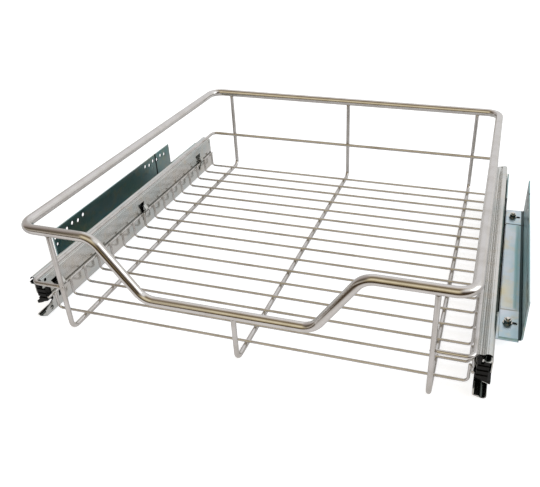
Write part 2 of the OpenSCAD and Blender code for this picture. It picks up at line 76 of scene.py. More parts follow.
BRACKET_X = RAIL_FACE + RUNNER_T
BRACKET_Z, SHEET_T, PLATE_X, PLATE_H = 9, 1.5, 282, 50
BRACKET_FOOT, BRACKET_LEG, BRACKET_AHEAD = PLATE_X - BRACKET_X - 4.15, 35, 1.5
EAR_LAP, EAR_END, EAR_LOW, EAR_TOP = 45, 41, 20, 41
PLATE_FRONT, PLATE_BACK = -141, 159
FRONT_STEP, BACK_STEP, STEP_H = PLATE_FRONT + 50, PLATE_BACK - 44, 0.8
SCREW_MIDDLE, SCREW_INNER, SCREW_PITCH, SCREW_PAIRS = PLATE_FRONT + 144, 81, 11.8, 6
SCREW_HOLE_R = 2.8          # with its rim, 0.4 more than in the solid model
SLOT_IN, SLOT_OUT = 2, 7.7
FLANGE_Z, FLANGE_X = BRACKET_Z + SHEET_T + 0.05, BRACKET_X + 4.85
BOLT_X, BOLT_Y, BOLT_R = (BRACKET_X + PLATE_X) / 2 - 1.575, (PLATE_FRONT + 26, PLATE_BACK - 21), 2.5
RIVET_AT = (PLATE_FRONT + 16, PLATE_FRONT + 121, PLATE_FRONT + 251)
SIDES = (("left", -1), ("right", 1))


# ---------- camera, floor and light ----------

CAMERA_AT = (0.2234, -0.6882, 0.4305)
CAMERA_AZIMUTH = 16.81      # degrees, turned from looking along +Y towards -X
CAMERA_DOWN = 31.31         # degrees below the horizon
CAMERA_ROLL = -0.96
LENS_MM = 41.49
LENS_SHIFT = (-0.0856, 0.0184)
PAPER_LIFT = 0.68           # light that the paper adds for the camera alone
SOFT_BOX_AT, SOFT_BOX_SIZE, SOFT_BOX_GLOW = (2.3, 0.1, 1.3), 1.7, 1.4


def add_camera():
    """From looking straight down, the camera is rolled, then tilted up, then turned to its
    azimuth."""
    data = bpy.data.cameras.new("camera")
    data.sensor_width = 36
    data.lens = LENS_MM
    data.shift_x, data.shift_y = LENS_SHIFT
    data.clip_start, data.clip_end = 0.05, 50
    camera = bpy.data.objects.new("camera", data)
    turn = (Matrix.Rotation(math.radians(CAMERA_AZIMUTH), 4, "Z")
            @ Matrix.Rotation(math.radians(90 - CAMERA_DOWN), 4, "X")
            @ Matrix.Rotation(math.radians(CAMERA_ROLL), 4, "Z"))
    camera.matrix_world = Matrix.Translation(CAMERA_AT) @ turn
    bpy.context.scene.collection.objects.link(camera)
    bpy.context.scene.camera = camera


def linear(hex_colour):
    """sRGB hex to linear RGBA: each channel c goes to ((c + 0.055) / 1.055) ^ 2.4."""
    c = np.array([int(hex_colour[i:i + 2], 16) for i in (1, 3, 5)]) / 255
    c = np.where(c <= 0.04045, c / 12.92, ((c + 0.055) / 1.055) ** 2.4)
    return (*c.tolist(), 1.0)


def add(tree, kind, **settings):
    """Adds a shader node. Each setting names a socket, or else a property. A socket takes
    another node's output, a node for its first output, a hex colour or a plain value."""
    made = tree.nodes.new("ShaderNode" + kind)
    sockets = {socket.identifier.replace(" ", "_"): socket for socket in made.inputs}
    for name, value in settings.items():
        if isinstance(value, bpy.types.Node):
            value = value.outputs[0]
        if name not in sockets:
            setattr(made, name, value)
        elif isinstance(value, bpy.types.NodeSocket):
            tree.links.new(value, sockets[name])
        else:
            sockets[name].default_value = linear(value) if isinstance(value, str) else value
    return made


def coat(tree, base, colour, *ranges, most=1.0):
    """Lays a colour over the base, up to the share most, where every value is past its range.
    Each range is (value, low, high); with high under low the value has to be under it."""
    share = most
    for value, low, high in ranges:
        past = add(tree, "MapRange", Value=value, From_Min=low, From_Max=high)
        share = add(tree, "Math", operation="MULTIPLY", Value=share, Value_001=past)
    mix = add(tree, "Mix", data_type="RGBA", Factor_Float=share, A_Color=base, B_Color=colour)
    return mix.outputs[2]


def tones(tree, value, low, high, stops):
    """Colours along a value from low to high: each stop is (position from 0 to 1, hex)."""
    spread = add(tree, "MapRange", Value=value, From_Min=low, From_Max=high)
    made = add(tree, "ValToRGB", Fac=spread)
    points = made.color_ramp.elements
    while len(points) < len(stops):
        points.new(0.5)
    for point, (position, colour) in zip(points, stops):
        point.position = position
        point.color = linear(colour)
    return made


def blank_material(name):
    """A new material and its node tree, with no node in it yet."""
    material = bpy.data.materials.new(name)
    material.use_nodes = True
    material.node_tree.nodes.clear()
    return material, material.node_tree


def paper_floor():
    """White paper, lifted towards pure white for the camera so that only a faint shadow stays.
    Reflections see it glow with painted tones: bright just in front of the basket, greyer under and
    behind it as a painted shadow, and brown where it runs out into the dark studio, a little further
    off on the left."""
    material, tree = blank_material("white_paper")
    place = add(tree, "SeparateXYZ", Vector=add(tree, "TexCoord").outputs["Object"]).outputs
    left_shift = add(tree, "MapRange", Value=place["X"], From_Min=-0.5, From_Max=-0.2,
                     To_Min=0.2, To_Max=0)
    along_y = add(tree, "Math", operation="ADD", Value=place["Y"], Value_001=left_shift)
    # Painted tones that only reflections see, with a painted shadow under the basket.
    seen = tones(tree, along_y, -1.0, 0.6, [
        (0, "#4a3a28"), (0.25, "#443520"), (0.31, "#574936"), (0.34, "#9a9087"),
        (0.37, "#dad6d3"), (0.43, "#ebe7e5"), (0.47, "#e2dedc"), (0.5, "#c8c5c4"),
        (0.8, "#c8c6c5"), (1, "#dcdbda")])
    ray = add(tree, "LightPath").outputs
    mirrored_ray = add(tree, "Math", operation="MAXIMUM", Value=ray["Is Glossy Ray"],
                       Value_001=ray["Is Transmission Ray"])
    lift = add(tree, "Math", operation="MULTIPLY", Value=ray["Is Camera Ray"],
               Value_001=PAPER_LIFT)
    open_paper = add(tree, "AddShader", Shader=add(tree, "BsdfDiffuse", Color="#e8edf6"),
                     Shader_001=add(tree, "Emission", Color="#ffffff", Strength=lift))
    surface = add(tree, "MixShader", Fac=mirrored_ray, Shader=open_paper,
                  Shader_001=add(tree, "Emission", Color=seen, Strength=1.0))
    add(tree, "OutputMaterial", Surface=surface)
    return material


def add_floor():
    """A flat sheet at the height that the basket stands on."""
    wide = 12
    mesh = bpy.data.meshes.new("floor")
    mesh.from_pydata([(-wide, -wide, 0), (wide, -wide, 0), (wide, wide, 0), (-wide, wide, 0)], [],
                     [(0, 1, 2, 3)])
    mesh.materials.append(paper_floor())
    floor = bpy.data.objects.new("floor", mesh)
    bpy.context.scene.collection.objects.link(floor)


def studio_walls(tree):
    """The studio by direction. The tones run over the angle from the front horizon up over the
    top to the back. The front wall is khaki and brightest at 37 degrees, the left one is dim
    from 36 to 60 degrees, and the right one is dark below 30. All are pale behind."""
    way = add(tree, "SeparateXYZ", Vector=add(tree, "TexCoord").outputs["Generated"]).outputs
    ahead = add(tree, "Math", operation="MULTIPLY", Value=way["Y"], Value_001=-1)
    angle = add(tree, "Math", operation="ARCTAN2", Value=way["Z"], Value_001=ahead)
    front = tones(tree, angle, 0, math.pi, [
        (0, "#7c6c50"), (0.055, "#a0926d"), (0.105, "#cbbb9f"), (0.16, "#e8dbb6"),
        (0.205, "#fdf0d5"), (0.26, "#ebe0c3"), (0.31, "#c0b296"), (0.37, "#a29376"),
        (0.42, "#7c6c50"), (0.48, "#84735c"), (0.53, "#b8ad9f"), (0.61, "#d4cbbf"),
        (0.67, "#f0ecea"), (0.78, "#efeef0"), (1, "#dedcda")])
    left = tones(tree, angle, 0, math.pi, [
        (0, "#cac3bb"), (0.09, "#b7ada1"), (0.2, "#655c4c"), (0.33, "#675e52"),
        (0.45, "#9a8e88"), (0.6, "#b9b0ab"), (0.78, "#c4bfbc"), (1, "#c6c4c2")])
    right = tones(tree, angle, 0, math.pi, [
        (0, "#5d5246"), (0.09, "#3a3125"), (0.16, "#5c5149"), (0.26, "#cac2bc"),
        (0.4, "#ffffff"), (0.75, "#ffffff"), (0.87, "#e8e6e4"), (1, "#f0eeec")])
    walls = coat(tree, front, left, (way["X"], -0.38, -0.58))
    return coat(tree, walls, right, (way["X"], 0.2, 0.45))


def add_light():
    """The walls light everything softly, and the camera sees white in their place. A soft box
    stands on the right."""
    world = bpy.data.worlds.new("studio")
    world.use_nodes = True
    tree = world.node_tree
    tree.nodes.clear()
    camera_ray = add(tree, "LightPath").outputs["Is Camera Ray"]
    seen = coat(tree, studio_walls(tree), "#ffffff", (camera_ray, 0, 1))
    add(tree, "OutputWorld", Surface=add(tree, "Background", Color=seen, Strength=1.0))
    bpy.context.scene.world = world
    data = bpy.data.lights.new("soft_box", "AREA")
    data.size = SOFT_BOX_SIZE
    data.energy = SOFT_BOX_GLOW * math.pi * SOFT_BOX_SIZE ** 2   # brightness x pi x area
    lamp = bpy.data.objects.new("soft_box", data)
    lamp.location = SOFT_BOX_AT
    lamp.rotation_euler = (-Vector(SOFT_BOX_AT)).to_track_quat("-Z", "Y").to_euler()
    bpy.context.scene.collection.objects.link(lamp)


# ---------- finishes ----------

def mottle(tree, coords, size, detail, roughness=0.5):
    """Unevenness in spots as large as size, in millimetres: one length, or one for each axis."""
    x, y, z = size if isinstance(size, tuple) else (size, size, size)
    placed = add(tree, "Mapping", Vector=coords, Scale=(1 / (x * MM), 1 / (y * MM), 1 / (z * MM)))
    return add(tree, "TexNoise", Vector=placed, Scale=1.0, Detail=detail, Roughness=roughness)


def bumps(tree, *heights):
    """Bumps laid over one another: each is (height, depth in metres)."""
    below = {}
    for height, depth in heights:
        below = {"Normal": add(tree, "Bump", Height=height, Distance=depth, Strength=1.0, **below)}
    return below["Normal"]


def uneven_gloss(tree, roughness, lines, streak, patches, start, dulling):
    """Roughness that rises by streak over the lines of drawing or rolling, and by dulling
    where the patches run from start to 0.8."""
    drawn = add(tree, "MapRange", Value=lines, From_Min=0.3, From_Max=0.7, To_Min=roughness,
                To_Max=roughness + streak)
    dulled = add(tree, "MapRange", Value=patches, From_Min=start, From_Max=0.8, To_Max=dulling)
    return add(tree, "Math", operation="ADD", Value=drawn, Value_001=dulled)


def finish_metal(material, tree, colour, roughness, normal):
    """Bare metal: its colour only tints what it mirrors."""
    shader = add(tree, "BsdfPrincipled", Metallic=1.0, Base_Color=colour, Roughness=roughness,
                 Normal=normal)
    add(tree, "OutputMaterial", Surface=shader)
    return material


def nickel_wire(name, colour, worn, roughness):
    """Bright nickel over drawn wire: draw lines along the wire, a slow waviness of 11 mm that
    breaks up the long reflections, and a faint tarnish in patches of 22 mm. The draw lines are
    0.8 mm wide and 40 mm long, coarser than real ones, so that they show."""
    material, tree = blank_material(name)
    along = add(tree, "UVMap", uv_map="along")
    place = add(tree, "TexCoord").outputs["Object"]
    lines = mottle(tree, along, (40, 0.8333, 1000), 3)
    wave = mottle(tree, place, 11.11, 1)
    grain = mottle(tree, place, 0.4, 3)
    tarnish = mottle(tree, place, 22.22, 4, 0.6)
    base = coat(tree, colour, worn, (tarnish, 0.45, 0.75))
    rough = uneven_gloss(tree, roughness, lines, 0.06, tarnish, 0.4, 0.08)
    normal = bumps(tree, (wave, 0.00008), (lines, 0.000006), (grain, 0.000004))
    return finish_metal(material, tree, base, rough, normal)


def zinc_clouds(tree, place, colour, cool, warm):
    """Passivated zinc: a base colour with cool clouds, 33 mm wide and twice as long, and warm
    patches of 13 mm over it. Gives the colour, the clouds and the patches."""
    cloud = mottle(tree, place, (33.33, 66.67, 33.33), 3)
    patch = mottle(tree, place, 13.33, 4)
    base = coat(tree, colour, cool, (cloud, 0.4, 0.62))
    return coat(tree, base, warm, (patch, 0.5, 0.75), most=0.7), cloud, patch


def sheet_finish(material, tree, place, base, cloud, patch, roughness, streak, relief=1.0):
    """Rolled sheet: streaks along Y in the gloss and the relief, duller where patched. The
    streaks are 1.1 mm wide, coarser than real rolling marks, so that they show."""
    rolled = mottle(tree, place, (1.111, 55.56, 1.111), 4, 0.65)
    grain = mottle(tree, place, 0.5556, 2)
    rough = uneven_gloss(tree, roughness, rolled, streak, patch, 0.45, 0.07)
    normal = bumps(tree, (cloud, 0.0001 * relief), (rolled, 0.000006 * relief),
                   (grain, 0.000002 * relief))
    return finish_metal(material, tree, base, rough, normal)


def distance(tree, value, at):
    """|value - at| in metres, for a place given in millimetres."""
    off = add(tree, "Math", operation="SUBTRACT", Value=value, Value_001=at * MM)
    return add(tree, "Math", operation="ABSOLUTE", Value=off)


def runner_place(tree, place):
    """Distances on either runner: |x| from the basket's middle, and height from the runner's
    middle. Gives the place's axes too."""
    axes = add(tree, "SeparateXYZ", Vector=place).outputs
    return distance(tree, axes["X"], 0), distance(tree, axes["Z"], RUNNER_Z), axes


def rolled_zinc(name, colour, cool, warm, roughness, streak, race_shade, painted_web_shade=None):
    """Zinc plate on rolled strip, with painted shade in the races where the balls run. On a rail
    inside the runner, the web colour given is painted shade on the web's front end. Without it there
    is a painted shadow line just above where the side wire lies against the web."""
    material, tree = blank_material(name)
    place = add(tree, "TexCoord").outputs["Object"]
    base, cloud, patch = zinc_clouds(tree, place, colour, cool, warm)
    side_on, off_middle, axes = runner_place(tree, place)
    from_race = add(tree, "CombineXYZ", X=distance(tree, side_on, RAIL_FACE + OUTER_U),
                    Y=distance(tree, off_middle, OUTER_V))
    off_race = add(tree, "VectorMath", operation="LENGTH", Vector=from_race).outputs["Value"]
    race_r = (OUTER_RACE + OUTER_BACK) / 2
    # Painted shade inside the race troughs, where the balls run.
    base = coat(tree, base, race_shade, (off_race, (race_r + 0.3) * MM, race_r * MM))
    if painted_web_shade:
        # Painted shade on the web's front end, inside the runner.
        base = coat(tree, base, painted_web_shade, (off_middle, 17.5 * MM, 16.5 * MM),
                    (axes["Y"], (RUNNER_FRONT + 45) * MM, (RUNNER_FRONT + 28) * MM))
    else:
        # Painted shadow: a dark line along the web just above the side wire.
        off_wire_shadow = distance(tree, axes["Z"], SIDE_WIRE_Z + SIDE_WIRE_R + 0.5)
        base = coat(tree, base, "#4b4843", (off_wire_shadow, 0.9 * MM, 0.5 * MM),
                    (side_on, (RAIL_FACE + 0.6) * MM, (RAIL_FACE + 0.3) * MM), most=0.85)
    return sheet_finish(material, tree, place, base, cloud, patch, roughness, streak)


def blue_zinc(name):
    """Blue passivated zinc: paler on the flanges and deeper up the walls, painted for how the light
    falls on each face, teal and straw tints in long clouds, a teal run beside the fold, and dark
    lines of painted shade in the fold and in the rear step."""
    material, tree = blank_material(name)
    place = add(tree, "TexCoord").outputs["Object"]
    side_on, _, axes = runner_place(tree, place)
    flange, cloud, patch = zinc_clouds(tree, place, "#dde6ee", "#c2dbe4", "#e6dfca")
    wall, _, _ = zinc_clouds(tree, place, "#c2d0d0", "#a5c4c6", "#d6cdb0")
    off_middle = distance(tree, axes["Y"], (FRONT_STEP + BACK_STEP) / 2)
    half = (BACK_STEP - FRONT_STEP) / 2
    between_tabs = (off_middle, (half - 1) * MM, (half - 6) * MM)
    stain = mottle(tree, place, (38.46, 71.43, 38.46), 1.5)
    flange = coat(tree, flange, "#f0dfa8", (stain, 0.5, 0.66), between_tabs, most=0.75)
    off_run = distance(tree, side_on, PLATE_X - 9.6)
    flange = coat(tree, flange, "#8fbcc0", (off_run, 2.4 * MM, 1.0 * MM), between_tabs, most=0.75)
    # Painted light: the flange, which faces up, is paler than the wall above it.
    base = coat(tree, flange, wall, (axes["Z"], (FLANGE_Z + 1.6) * MM, (FLANGE_Z + 4) * MM))
    runs = mottle(tree, place, (16.67, 333.3, 16.67), 2)
    base = coat(tree, base, "#8fc3c6", (runs, 0.56, 0.7), most=0.8)
    # Painted shade: dark lines in the fold and in the rear step.
    for value, at, reach, shade_colour in ((side_on, PLATE_X - 3.2, 1.3, "#3a4a4c"),
                                    (axes["Y"], BACK_STEP, 1.6, "#1c2426")):
        off_line = distance(tree, value, at)
        base = coat(tree, base, shade_colour, (off_line, (reach + 0.5) * MM, reach * MM))
    return sheet_finish(material, tree, place, base, cloud, patch, 0.27, 0.06, relief=0.4)


def fastener_with_painted_top():
    """Dark zinc fasteners, with a painted highlight on the faces that point up."""
    material, tree = blank_material("fastener_zinc")
    place = add(tree, "TexCoord").outputs["Object"]
    base, cloud, patch = zinc_clouds(tree, place, "#85888a", "#737b7e", "#958b7a")
    normal = add(tree, "NewGeometry").outputs["Normal"]
    upward = add(tree, "SeparateXYZ", Vector=normal).outputs["Z"]
    # Painted highlight on the faces that point up.
    base = coat(tree, base, "#ece7df", (upward, 0.35, 0.8))
    return sheet_finish(material, tree, place, base, cloud, patch, 0.16, 0.06)


def black_nylon():
    """Moulded black nylon: spark texture of 0.3 mm, greyer where it has been rubbed."""
    material, tree = blank_material("black_nylon")
    place = add(tree, "TexCoord").outputs["Object"]
    spark = mottle(tree, place, 0.2857, 3)
    rubbed = mottle(tree, place, 6.25, 3)
    rough = add(tree, "MapRange", Value=rubbed, From_Min=0.3, From_Max=0.7, To_Min=0.34,
                To_Max=0.5)
    shader = add(tree, "BsdfPrincipled", Roughness=rough, Specular_IOR_Level=0.28,
                 Base_Color=coat(tree, "#050505", "#100e0e", (rubbed, 0.5, 0.8)),
                 Normal=bumps(tree, (spark, 0.00001)))
    add(tree, "OutputMaterial", Surface=shader)
    return material


# ---------- shapes ----------

def unit(v):
    """v / |v| along the last axis."""
    return v / np.linalg.norm(v, axis=-1, keepdims=True)


def bent_path(corners, radii, closed=False, steps=9):
    """Straight runs joined by arcs. At a corner b between directions d1 and d2 that turn by
    T, the arc of radius R is c + q cos(f) + R d1 sin(f) for f from 0 to T, where
    q = b - R tan(T / 2) d1 - c and c = b + R unit(d2 - d1) / cos(T / 2)."""
    p = np.asarray(corners, float)
    if closed:
        before, here, after = np.roll(p, 1, 0), p, np.roll(p, -1, 0)
    else:
        before, here, after = p[:-2], p[1:-1], p[2:]
    r = np.broadcast_to(np.asarray(radii, float), (len(here),))[:, None]
    d1, d2 = unit(here - before), unit(after - here)
    turn = np.arccos(np.clip((d1 * d2).sum(1, keepdims=True), -1, 1))
    centre = here + r * unit(d2 - d1) / np.cos(turn / 2)
    q = here - r * np.tan(turn / 2) * d1 - centre
    f = turn[:, :, None] * np.linspace(0, 1, steps)[None, :, None]
    arcs = centre[:, None] + q[:, None] * np.cos(f) + (r * d1)[:, None] * np.sin(f)
    line = arcs.reshape(-1, p.shape[1])
    return line if closed else np.concatenate([p[:1], line, p[-1:]])


def grid_faces(rows, cols, wrap_rows=False, wrap_cols=False):
    """Quads (i, j), (i+1, j), (i+1, j+1), (i, j+1) over a grid of points."""
    i = np.arange(rows if wrap_rows else rows - 1)[:, None]
    j = np.arange(cols if wrap_cols else cols - 1)[None]
    i2, j2 = (i + 1) % rows, (j + 1) % cols
    return np.stack(np.broadcast_arrays(i * cols + j, i2 * cols + j, i2 * cols + j2,
                                        i * cols + j2), -1).reshape(-1, 4)


def as_list(faces):
    """Faces as lists of point numbers, from lists or from one array."""
    return faces if isinstance(faces, list) else faces.tolist()


def mesh_of(name, parts):
    """One mesh from (points in mm, faces) parts, each with outward faces."""
    points, faces, start = [], [], 0
    for part_points, part_faces in parts:
        points.append(np.asarray(part_points, float).reshape(-1, 3))
        faces += [[start + k for k in face] for face in as_list(part_faces)]
        start += len(points[-1])
    mesh = bpy.data.meshes.new(name)
    mesh.from_pydata((np.concatenate(points) * MM).tolist(), [], faces)
    return mesh


def on_side(part, side):
    """A part for one side. The left side's is the right side's with x turned over, and its
    faces run the other way round, so that they still face outwards."""
    points, faces = part
    points = np.asarray(points, float).reshape(-1, 3) * (side, 1, 1)
    return points, as_list(faces) if side > 0 else [face[::-1] for face in as_list(faces)]


def new_piece(name, parts, material, body, nodes=(), sharp=None, uv=None):
    """One object from parts, smooth but for edges sharper than the angle sharp."""
    mesh = mesh_of(name, parts)
    if uv is not None:
        layer = mesh.uv_layers.new(name="along")
        layer.data.foreach_set("uv", np.asarray(uv, np.float32).ravel())
    mesh.polygons.foreach_set("use_smooth", np.ones(len(mesh.polygons), bool))
    mesh.materials.append(material)
    mesh.update()
    if sharp is not None:
        mesh.set_sharp_from_angle(angle=math.radians(sharp))
    piece = bpy.data.objects.new(name, mesh)
    bpy.context.scene.collection.objects.link(piece)
    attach(piece, body)
    if nodes:
        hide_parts(*nodes)
    return piece


def tube(path, radius, reference, sides=24, closed=False):
    """Round bar with chamfered, closed ends: P(s, a) = path(s) + r(s) (cos a N + sin a B),
    with N = unit(tangent x reference) and B = N x tangent. A second ring behind each chamfer
    keeps the long run's shading straight. Gives points, faces and UVs in metres: along the
    wire, and around it."""
    path = np.asarray(path, float)
    step = np.diff(np.concatenate([path, path[:1]]) if closed else path, axis=0)
    if closed:
        tangent = unit(unit(step) + unit(np.roll(step, 1, 0)))
    else:
        tangent = unit(np.concatenate([step[:1], unit(step[1:]) + unit(step[:-1]), step[-1:]]))
    length = np.concatenate([[0], np.cumsum(np.linalg.norm(step, axis=1))])
    if not closed:
        tip = np.array([[0], [0], [0.35], [0.7]]) * radius
        path = np.concatenate([path[:1] + tip * tangent[:1], path[1:-1],
                               path[-1:] - tip[::-1] * tangent[-1:]])
        tangent = np.concatenate([tangent[[0] * 4], tangent[1:-1], tangent[[-1] * 4]])
        length = np.concatenate([length[[0] * 4], length[1:-1], length[[-1] * 4]])
        r = np.full(len(path), float(radius))
        r[[0, 1, -2, -1]] = 0.02, 0.72 * radius, 0.72 * radius, 0.02
    else:
        r = np.full(len(path), float(radius))
    normal = unit(np.cross(tangent, np.asarray(reference, float)))
    around = np.cross(normal, tangent)
    a = np.linspace(0, 2 * np.pi, sides, endpoint=False)
    points = path[:, None] + r[:, None, None] * (normal[:, None] * np.cos(a)[None, :, None]
                                                 + around[:, None] * np.sin(a)[None, :, None])
    rows = len(path)
    faces = grid_faces(rows, sides, wrap_rows=closed, wrap_cols=True)
    j = np.arange(sides)
    last = rows if closed else rows - 1
    u = np.stack([length[:last], length[1:last + 1], length[1:last + 1], length[:last]], 1)[:, None]
    v = np.stack([j, j, j + 1, j + 1], 1)[None] * (2 * np.pi * radius / sides)
    uv = np.stack(np.broadcast_arrays(u, v), -1) * MM
    return points, faces, uv.reshape(-1, 2)


def wire_piece(name, path, radius, reference, material, sides=24, closed=False):
    """The finish of one wire of the basket."""
    points, faces, uv = tube(path, radius, reference, sides, closed)
    return new_piece(name + "_finish", [(points, faces)], material, "basket", [name], uv=uv)


def strip_outline(line, thickness, round_ends=True):
    """Closed outline of a sheet along a 2-D centre line: line + and - t / 2 along its normal,
    with rounded or square ends."""
    line = np.asarray(line, float)
    step = unit(np.diff(line, axis=0))
    tangent = unit(np.concatenate([step[:1], step[1:] + step[:-1], step[-1:]]))
    normal = np.stack([-tangent[:, 1], tangent[:, 0]], 1)
    h = thickness / 2
    if not round_ends:
        return np.concatenate([line + h * normal, (line - h * normal)[::-1]])
    f = np.radians([60, 30, 0, -30, -60])[:, None]
    end = line[-1] - 0.3 * h * tangent[-1] + h * (np.sin(f) * normal[-1]
                                                  + np.cos(f) * 0.9 * tangent[-1])
    start = line[0] + 0.3 * h * tangent[0] - h * (np.sin(f) * normal[0]
                                                  + np.cos(f) * 0.9 * tangent[0])
    return np.concatenate([line + h * normal, end, (line - h * normal)[::-1], start])


def drawn_out(outline, stations, place):
    """A closed 2-D outline drawn out over stations along Y, with flat ends.
    place(outline, station) gives the 3-D points of one station's outline."""
    points = np.stack([place(outline, y) for y in stations])
    rows, cols = points.shape[:2]
    faces = grid_faces(rows, cols, wrap_cols=True).tolist()
    faces += [list(range(cols))[::-1], [(rows - 1) * cols + k for k in range(cols)]]
    return points, faces


def area(outline):
    """Half the sum of x(i) y(i+1) - x(i+1) y(i); over 0 if the outline runs anticlockwise."""
    x, y = outline[:, 0], outline[:, 1]
    return 0.5 * np.sum(x * np.roll(y, -1) - y * np.roll(x, -1))


def prism(outline, low, high, axis):
    """A closed 2-D outline as a solid block between low and high along an axis. The outline's
    two coordinates are the other two axes in order."""
    outline = np.asarray(outline, float)
    if (area(outline) < 0) != (axis == 1):
        outline = outline[::-1]
    n = len(outline)
    ends = [np.insert(outline, axis, level, axis=1) for level in (low, high)]
    faces = [[k, (k + 1) % n, n + (k + 1) % n, n + k] for k in range(n)]
    faces += [list(range(n))[::-1], list(range(n, 2 * n))]
    return np.concatenate(ends), faces


def circle(at, radius, sides=28):
    """at + radius (cos a, sin a) for a once round."""
    a = np.linspace(0, 2 * np.pi, sides, endpoint=False)
    return np.stack([at[0] + radius * np.cos(a), at[1] + radius * np.sin(a)], 1)


def rounded(corners, radius, steps=5):
    """A closed 2-D outline with rounded corners."""
    return bent_path(corners, radius, closed=True, steps=steps)


def box_outline(a0, a1, b0, b1):
    """The rectangle from a0 to a1 and from b0 to b1."""
    return [(a0, b0), (a1, b0), (a1, b1), (a0, b1)]


def cut(piece, cutters, side):
    """Takes the cutter solids (points, faces) out of the piece for good."""
    mesh = mesh_of("cutter", [on_side(cutter, side) for cutter in cutters])
    cutter = bpy.data.objects.new("cutter", mesh)
    bpy.context.scene.collection.objects.link(cutter)
    modifier = piece.modifiers.new("cut", "BOOLEAN")
    modifier.operation, modifier.solver, modifier.object = "DIFFERENCE", "EXACT", cutter
    modifier.use_self = True
    bpy.context.view_layer.update()
    seen = piece.evaluated_get(bpy.context.evaluated_depsgraph_get())
    done = bpy.data.meshes.new_from_object(seen)
    piece.modifiers.clear()
    old, piece.data = piece.data, done
    done.name = piece.name
    bpy.data.meshes.remove(old)
    bpy.data.objects.remove(cutter)
    bpy.data.meshes.remove(mesh)


def soften(piece, width, angle=35, segments=2):
    """Small rounded edges, and flat shading only across what is still sharp."""
    bevel = piece.modifiers.new("edges", "BEVEL")
    bevel.width, bevel.segments = width * MM, segments
    bevel.limit_method, bevel.angle_limit = "ANGLE", math.radians(angle)
    bevel.harden_normals = True
    piece.data.set_sharp_from_angle(angle=math.radians(angle))


# ---------- basket ----------

def rim_path():
    """Once round the top, with the front lowered by DIP_DROP between sloping shoulders."""
    foot, top, low = DIP_FOOT, DIP_FOOT + DIP_SLOPE, RIM_Z - DIP_DROP
    return bent_path([
        (-RIM_X, RIM_Y, RIM_Z), (-RIM_X, -RIM_Y, RIM_Z),
        (DIP_SHIFT - top, -RIM_Y, RIM_Z), (DIP_SHIFT - foot, -RIM_Y, low),
        (DIP_SHIFT + foot, -RIM_Y, low), (DIP_SHIFT + top, -RIM_Y, RIM_Z),
        (RIM_X, -RIM_Y, RIM_Z), (RIM_X, RIM_Y, RIM_Z)
    ], [18, 18, 22, 22, 22, 22, 18, 18], closed=True, steps=17)


def bearer_path(x, front_top):
    """Down from the rim in front, under the floor, and up to the rim at the back."""
    return bent_path([(x, -BEARER_Y, front_top - RIM_D / 2), (x, -BEARER_Y, BEARER_R),
                      (x, BEARER_Y, BEARER_R), (x, BEARER_Y, RIM_Z - RIM_D / 2)], 9, steps=13)


def mid_rail_path():
    """Along both sides and the back, with a short return in front to each outer bearer."""
    end = BEARER_X + BEARER_R
    return bent_path([(-end, -BEARER_Y, MID_RAIL_Z), (-MID_RAIL_X, -BEARER_Y, MID_RAIL_Z),
                      (-MID_RAIL_X, MID_RAIL_BACK, MID_RAIL_Z),
                      (MID_RAIL_X, MID_RAIL_BACK, MID_RAIL_Z),
                      (MID_RAIL_X, -BEARER_Y, MID_RAIL_Z), (end, -BEARER_Y, MID_RAIL_Z)],
                     8, steps=11)


def floor_wire_path(y):
    """Across the floor, with both ends turned up beside the side wires."""
    return bent_path([(-STUB_X, y, STUB_TOP), (-STUB_X, y, FLOOR_Z), (STUB_X, y, FLOOR_Z),
                      (STUB_X, y, STUB_TOP)], 5, steps=9)


def make_wires(rim_finish, wire_finish):
    """Rim, bearers, mid rail, side wires and floor wires."""
    wire_piece("rim_tube", rim_path(), RIM_D / 2, (0, 0, 1), rim_finish, 40, True)
    for name, x, top in (("bearer_left", -BEARER_X, RIM_Z), ("bearer_centre", 0, RIM_Z - DIP_DROP),
                         ("bearer_right", BEARER_X, RIM_Z)):
        wire_piece(name, bearer_path(x, top), BEARER_R, (1, 0, 0), wire_finish, 28)
    wire_piece("mid_rail", mid_rail_path(), MID_RAIL_R, (0, 0, 1), wire_finish)
    for side_name, side in SIDES:
        wire_piece("side_wire_" + side_name,
                   [(side * SIDE_WIRE_X, y, SIDE_WIRE_Z)
                    for y in np.linspace(-SIDE_WIRE_END, SIDE_WIRE_END, 12)],
                   SIDE_WIRE_R, (1, 0, 0), wire_finish, 20)
    for i, y in enumerate(FLOOR_Y):
        wire_piece("floor_wire_%02d" % (i + 1), floor_wire_path(y), FLOOR_R, (0, 1, 0),
                   wire_finish, 18)


def weld_beads(places, size):
    """Small cushions of squeezed-out metal where wires cross: each is the ellipsoid
    P(a, b) = place + size (cos b cos a, cos b sin a, sin b), lifted to a soft square by
    the power 0.8 of each term, as one broadcast over all places."""
    places, size = np.asarray(places, float), np.asarray(size, float)
    a = np.linspace(0, 2 * np.pi, 12, endpoint=False)
    b = np.linspace(-np.pi / 2, np.pi / 2, 7)[:, None]

    def soft(t):
        return np.sign(t) * np.abs(t) ** 0.8

    ball = np.stack([soft(np.cos(b)) * soft(np.cos(a)), soft(np.cos(b)) * soft(np.sin(a)),
                     np.broadcast_to(soft(np.sin(b)), (7, 12))], -1)
    size = np.broadcast_to(size, (len(places), 3))
    points = places[:, None, None] + size[:, None, None] * ball[None]
    one = grid_faces(7, 12, wrap_cols=True)[:, ::-1]
    faces = (one[None] + (np.arange(len(places)) * 84)[:, None, None]).reshape(-1, 4)
    return points, faces


